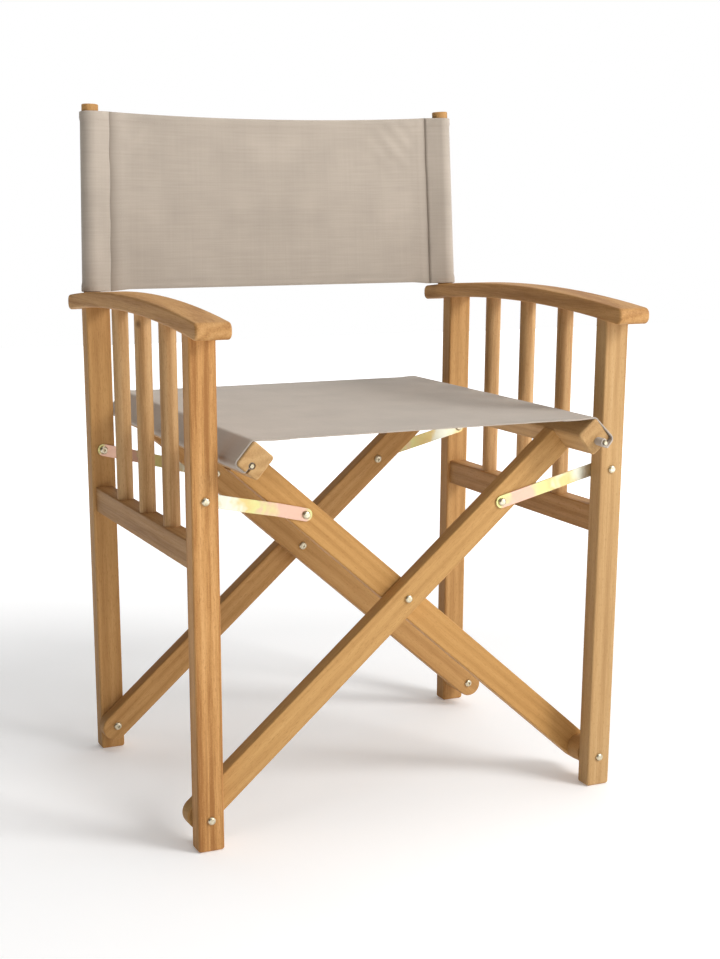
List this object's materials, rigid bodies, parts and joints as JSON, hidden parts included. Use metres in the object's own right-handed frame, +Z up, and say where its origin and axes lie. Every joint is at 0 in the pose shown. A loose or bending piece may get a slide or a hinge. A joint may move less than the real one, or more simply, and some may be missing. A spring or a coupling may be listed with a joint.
{
  "type": "folding director chair",
  "caption": "Folding director chair with hardwood side frames, crossed legs, steel straps, arched armrests, a taut canvas seat and a canvas back on two round uprights.",
  "frame": {"origin": "on the floor, under the middle of the chair's outline", "axes": "+Z up, -Y towards the front of the seat, +X to the right of someone who looks at the front"},
  "size_m": [0.589, 0.536, 0.8801],
  "materials": {
    "hardwood": "oiled, satin, visible grain",
    "canvas": "plain weave, matt",
    "zinc_strap": "yellow iridescent zinc plate",
    "zinc_bolts": "pale yellow zinc plate"
  },
  "bodies": {
    "outer_cross": {"cross_bolts": "zinc_bolts", "cross_caps": "zinc_bolts", "cross_washers": "zinc_bolts", "outer_front_leg": "hardwood", "outer_rear_leg": "hardwood", "outer_strap_studs": "zinc_bolts", "right_hem_rod": "zinc_bolts", "right_seat_hem": "canvas", "right_seat_rail": "hardwood", "right_seat_rail_screws": "zinc_bolts"},
    "inner_cross": {"inner_front_leg": "hardwood", "inner_rear_leg": "hardwood", "inner_strap_studs": "zinc_bolts", "left_hem_rod": "zinc_bolts", "left_seat_hem": "canvas", "left_seat_rail": "hardwood", "left_seat_rail_screws": "zinc_bolts"},
    "left_side": {"left_armrest": "hardwood", "left_back_upright": "hardwood", "left_foot_bolts": "zinc_bolts", "left_foot_cap_nuts": "zinc_bolts", "left_foot_washers": "zinc_bolts", "left_frame_dowels": "hardwood", "left_front_post": "hardwood", "left_rear_post": "hardwood", "left_side_rail": "hardwood", "left_slat_1": "hardwood", "left_slat_2": "hardwood", "left_slat_3": "hardwood", "left_strap_bolts": "zinc_bolts", "left_strap_cap_nuts": "zinc_bolts"},
    "left_back_cloth": {"left_back_cloth": "canvas"},
    "left_front_strap": {"left_front_strap": "zinc_strap", "left_front_strap_stud_cap": "zinc_bolts"},
    "left_rear_strap": {"left_rear_strap": "zinc_strap", "left_rear_strap_stud_cap": "zinc_bolts"},
    "left_seat_cloth_middle": {"left_seat_cloth_middle": "canvas"},
    "left_seat_cloth_side": {"left_seat_cloth_side": "canvas"},
    "right_side": {"right_armrest": "hardwood", "right_back_upright": "hardwood", "right_foot_bolts": "zinc_bolts", "right_foot_cap_nuts": "zinc_bolts", "right_foot_spacers": "hardwood", "right_frame_dowels": "hardwood", "right_front_post": "hardwood", "right_rear_post": "hardwood", "right_side_rail": "hardwood", "right_slat_1": "hardwood", "right_slat_2": "hardwood", "right_slat_3": "hardwood", "right_strap_bolts": "zinc_bolts", "right_strap_cap_nuts": "zinc_bolts"},
    "right_back_cloth": {"right_back_cloth": "canvas"},
    "right_front_strap": {"right_front_strap": "zinc_strap", "right_front_strap_stud_cap": "zinc_bolts"},
    "right_rear_strap": {"right_rear_strap": "zinc_strap", "right_rear_strap_stud_cap": "zinc_bolts"},
    "right_seat_cloth_middle": {"right_seat_cloth_middle": "canvas"},
    "right_seat_cloth_side": {"right_seat_cloth_side": "canvas"}
  },
  "joints": [
    {"name": "fold", "type": "hinge", "parent": "left_side", "child": "outer_cross", "pos_m": [-0.2735, -0.1791, 0.04], "axis": [0, -1, 0], "range_deg": [0, 39.85]},
    {"name": "cross_pivot", "type": "hinge", "parent": "outer_cross", "child": "inner_cross", "pos_m": [0, -0.1675, 0.2795], "axis": [0, -1, 0], "range_deg": [-87.59, 0]},
    {"name": "right_foot_pivot", "type": "hinge", "parent": "inner_cross", "child": "right_side", "pos_m": [0.2735, -0.1559, 0.04], "axis": [0, -1, 0], "range_deg": [0, 39.86]},
    {"name": "left_front_strap_pivot", "type": "hinge", "parent": "left_side", "child": "left_front_strap", "pos_m": [-0.2735, -0.1913, 0.4275], "axis": [0, -1, 0], "range_deg": [0, 83.21]},
    {"name": "left_rear_strap_pivot", "type": "hinge", "parent": "left_side", "child": "left_rear_strap", "pos_m": [-0.2735, 0.1913, 0.4275], "axis": [0, -1, 0], "range_deg": [0, 83.21]},
    {"name": "left_seat_bend", "type": "hinge", "parent": "inner_cross", "child": "left_seat_cloth_side", "pos_m": [-0.221, 0, 0.49838], "axis": [0, -1, 0], "range_deg": [-41.37, 0], "deforming": ["left_seat_cloth_side"]},
    {"name": "left_seat_crease", "type": "hinge", "parent": "left_seat_cloth_side", "child": "left_seat_cloth_middle", "pos_m": [-0.141, 0, 0.49838], "axis": [0, -1, 0], "range_deg": [0, 175.04], "deforming": ["left_seat_cloth_middle"]},
    {"name": "left_back_swing", "type": "hinge", "parent": "left_side", "child": "left_back_cloth", "pos_m": [-0.26527, 0.23867, 0.753], "axis": [0.0574, 0.0696, 0.9959], "range_deg": [0, 74.52], "deforming": ["left_back_cloth"]},
    {"name": "right_front_strap_pivot", "type": "hinge", "parent": "right_side", "child": "right_front_strap", "pos_m": [0.2735, -0.1913, 0.4275], "axis": [0, -1, 0], "range_deg": [-83.21, 0]},
    {"name": "right_rear_strap_pivot", "type": "hinge", "parent": "right_side", "child": "right_rear_strap", "pos_m": [0.2735, 0.1913, 0.4275], "axis": [0, -1, 0], "range_deg": [-83.21, 0]},
    {"name": "right_seat_bend", "type": "hinge", "parent": "outer_cross", "child": "right_seat_cloth_side", "pos_m": [0.221, 0, 0.49838], "axis": [0, -1, 0], "range_deg": [0, 41.37], "deforming": ["right_seat_cloth_side"]},
    {"name": "right_seat_crease", "type": "hinge", "parent": "right_seat_cloth_side", "child": "right_seat_cloth_middle", "pos_m": [0.141, 0, 0.49838], "axis": [0, -1, 0], "range_deg": [-175.04, 0], "deforming": ["right_seat_cloth_middle"]},
    {"name": "right_back_swing", "type": "hinge", "parent": "right_side", "child": "right_back_cloth", "pos_m": [0.26527, 0.23867, 0.753], "axis": [-0.0574, 0.0696, 0.9959], "range_deg": [-74.52, 0], "deforming": ["right_back_cloth"]}
  ],
  "couplings": [
    {"joint": "cross_pivot", "follows": "fold", "ratio": -2.1978},
    {"joint": "right_foot_pivot", "follows": "fold", "ratio": 1},
    {"joint": "left_front_strap_pivot", "follows": "fold", "ratio": 2.0879},
    {"joint": "left_rear_strap_pivot", "follows": "fold", "ratio": 2.0879},
    {"joint": "left_seat_bend", "follows": "fold", "ratio": -1.0378},
    {"joint": "left_seat_crease", "follows": "fold", "ratio": 4.3922},
    {"joint": "left_back_swing", "follows": "fold", "ratio": 1.8698},
    {"joint": "right_front_strap_pivot", "follows": "fold", "ratio": -2.0879},
    {"joint": "right_rear_strap_pivot", "follows": "fold", "ratio": -2.0879},
    {"joint": "right_seat_bend", "follows": "fold", "ratio": 1.0378},
    {"joint": "right_seat_crease", "follows": "fold", "ratio": -4.3922},
    {"joint": "right_back_swing", "follows": "fold", "ratio": -1.8698}
  ]
}
